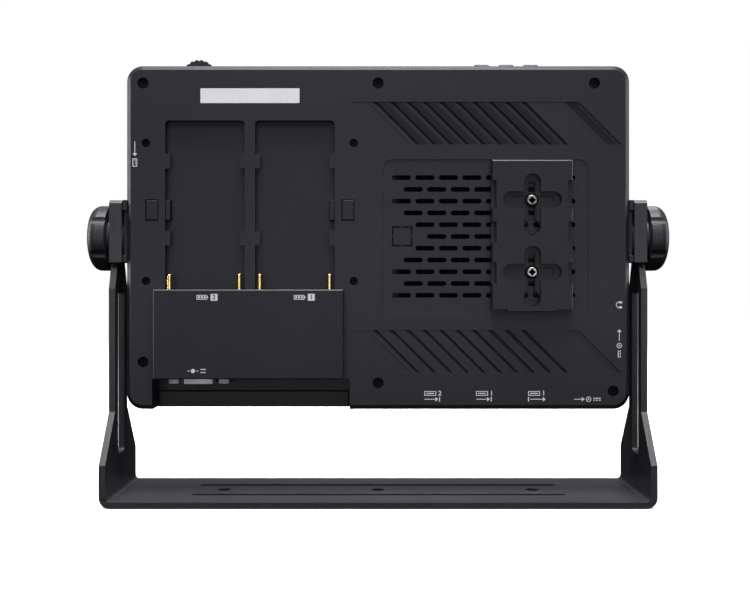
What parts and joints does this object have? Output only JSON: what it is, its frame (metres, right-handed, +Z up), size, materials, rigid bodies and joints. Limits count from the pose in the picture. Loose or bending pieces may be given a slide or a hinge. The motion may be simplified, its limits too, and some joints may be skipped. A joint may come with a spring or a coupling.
{
  "type": "camera field monitor",
  "caption": "Camera field monitor seen from its battery side, tilting in a slotted U-bracket between lobed clamping knobs, with press buttons, a knurled dial and latched battery bays",
  "frame": {"origin": "on the floor, under the middle of the bracket's base", "axes": "+X along the width, to the right when the battery side is faced; +Y from the battery side to the screen; +Z up"},
  "size_m": [0.2904, 0.06, 0.2215],
  "materials": {
    "fitting_black": "matt black anodised alloy",
    "black_enamel": "black powder coat, fine grain",
    "case_black": "matt black coat on die-cast alloy",
    "black_plastic": "matt black moulding",
    "washer_nylon": "dark nylon",
    "bright_steel": "plain zinc-plated steel",
    "dark_steel": "blackened steel",
    "screw_chrome": "bright plated",
    "gold_brass": "gold-plated brass",
    "screen_glass": "polished cover glass, dark border",
    "display_black": "dark display panel, switched off",
    "bare_alloy": "plain alloy",
    "circuit_board": "green solder mask",
    "lens_white": "translucent white"
  },
  "bodies": {
    "bracket": {"bracket_base": "black_enamel", "bracket_arm_left": "black_enamel", "bracket_arm_right": "black_enamel", "hinge_block_left": "fitting_black", "hinge_block_right": "fitting_black", "hinge_block_screws": "dark_steel", "friction_washers": "washer_nylon", "knob_washers": "bright_steel"},
    "monitor": {"rear_cover": "case_black", "front_frame": "case_black", "cover_glass": "screen_glass", "display_panel": "display_black", "chassis_plate": "bare_alloy", "main_board": "circuit_board", "board_standoffs": "gold_brass", "board_screws": "bright_steel", "heat_sink": "fitting_black", "battery_bay_plate": "black_plastic", "battery_stop_block": "black_plastic", "battery_pins": "gold_brass", "battery_terminal_board": "circuit_board", "tally_light_lens": "lens_white", "tally_light_board": "circuit_board", "cover_screws": "dark_steel", "bay_screws": "dark_steel", "tally_socket": "bright_steel", "tally_jack_screws": "bright_steel", "video_input_socket_1": "bright_steel", "video_input_socket_2": "bright_steel", "video_output_socket": "bright_steel", "power_jack": "black_plastic", "headphone_jack": "black_plastic", "power_output_socket": "black_plastic", "card_socket": "bright_steel", "mount_plate": "fitting_black", "mount_plate_screws": "screw_chrome", "mount_plate_washers": "dark_steel", "mount_plate_inserts": "gold_brass", "side_plate_left": "fitting_black", "side_plate_right": "fitting_black", "side_plate_screws": "dark_steel", "pivot_nuts": "bright_steel", "button_board": "circuit_board", "button_switches": "black_plastic", "dial_encoder": "black_plastic", "release_spring_left": "bright_steel", "release_spring_right": "bright_steel"},
    "dial_carrier": {"dial_axle": "bright_steel"},
    "dial": {"menu_dial": "black_plastic"},
    "button_1": {"function_button_1": "black_plastic"},
    "button_2": {"function_button_2": "black_plastic"},
    "button_3": {"function_button_3": "black_plastic"},
    "release_left": {"battery_release_left": "black_plastic"},
    "release_right": {"battery_release_right": "black_plastic"},
    "knob_left": {"clamp_knob_left": "black_plastic", "knob_stud_left": "bright_steel"},
    "knob_right": {"clamp_knob_right": "black_plastic", "knob_stud_right": "bright_steel"}
  },
  "joints": [
    {"name": "tilt", "type": "hinge", "parent": "bracket", "child": "monitor", "pos_m": [0, 0, 0.1314], "axis": [1, 0, 0], "continuous": true},
    {"name": "knob_left_turn", "type": "hinge", "parent": "monitor", "child": "knob_left", "pos_m": [-0.1401, 0, 0.1314], "axis": [1, 0, 0], "continuous": true},
    {"name": "knob_right_turn", "type": "hinge", "parent": "monitor", "child": "knob_right", "pos_m": [0.1401, 0, 0.1314], "axis": [1, 0, 0], "continuous": true},
    {"name": "dial_press", "type": "slide", "parent": "monitor", "child": "dial_carrier", "axis": [0, 0, -1], "range_m": [0, 0.0005], "stiffness_N_per_m": 900, "springref_m": -0.001},
    {"name": "dial_turn", "type": "hinge", "parent": "dial_carrier", "child": "dial", "pos_m": [-0.0905, -0.003, 0.2129], "axis": [0, 1, 0], "continuous": true},
    {"name": "button_1_press", "type": "slide", "parent": "monitor", "child": "button_1", "axis": [0, 0, -1], "range_m": [0, 0.0006], "stiffness_N_per_m": 600, "springref_m": -0.001},
    {"name": "button_2_press", "type": "slide", "parent": "monitor", "child": "button_2", "axis": [0, 0, -1], "range_m": [0, 0.0006], "stiffness_N_per_m": 600, "springref_m": -0.001},
    {"name": "button_3_press", "type": "slide", "parent": "monitor", "child": "button_3", "axis": [0, 0, -1], "range_m": [0, 0.0006], "stiffness_N_per_m": 600, "springref_m": -0.001},
    {"name": "release_left_press", "type": "slide", "parent": "monitor", "child": "release_left", "axis": [0, 1, 0], "range_m": [0, 0.002], "stiffness_N_per_m": 300, "springref_m": -0.002, "deforming": ["release_spring_left"]},
    {"name": "release_right_press", "type": "slide", "parent": "monitor", "child": "release_right", "axis": [0, 1, 0], "range_m": [0, 0.002], "stiffness_N_per_m": 300, "springref_m": -0.002, "deforming": ["release_spring_right"]}
  ]
}
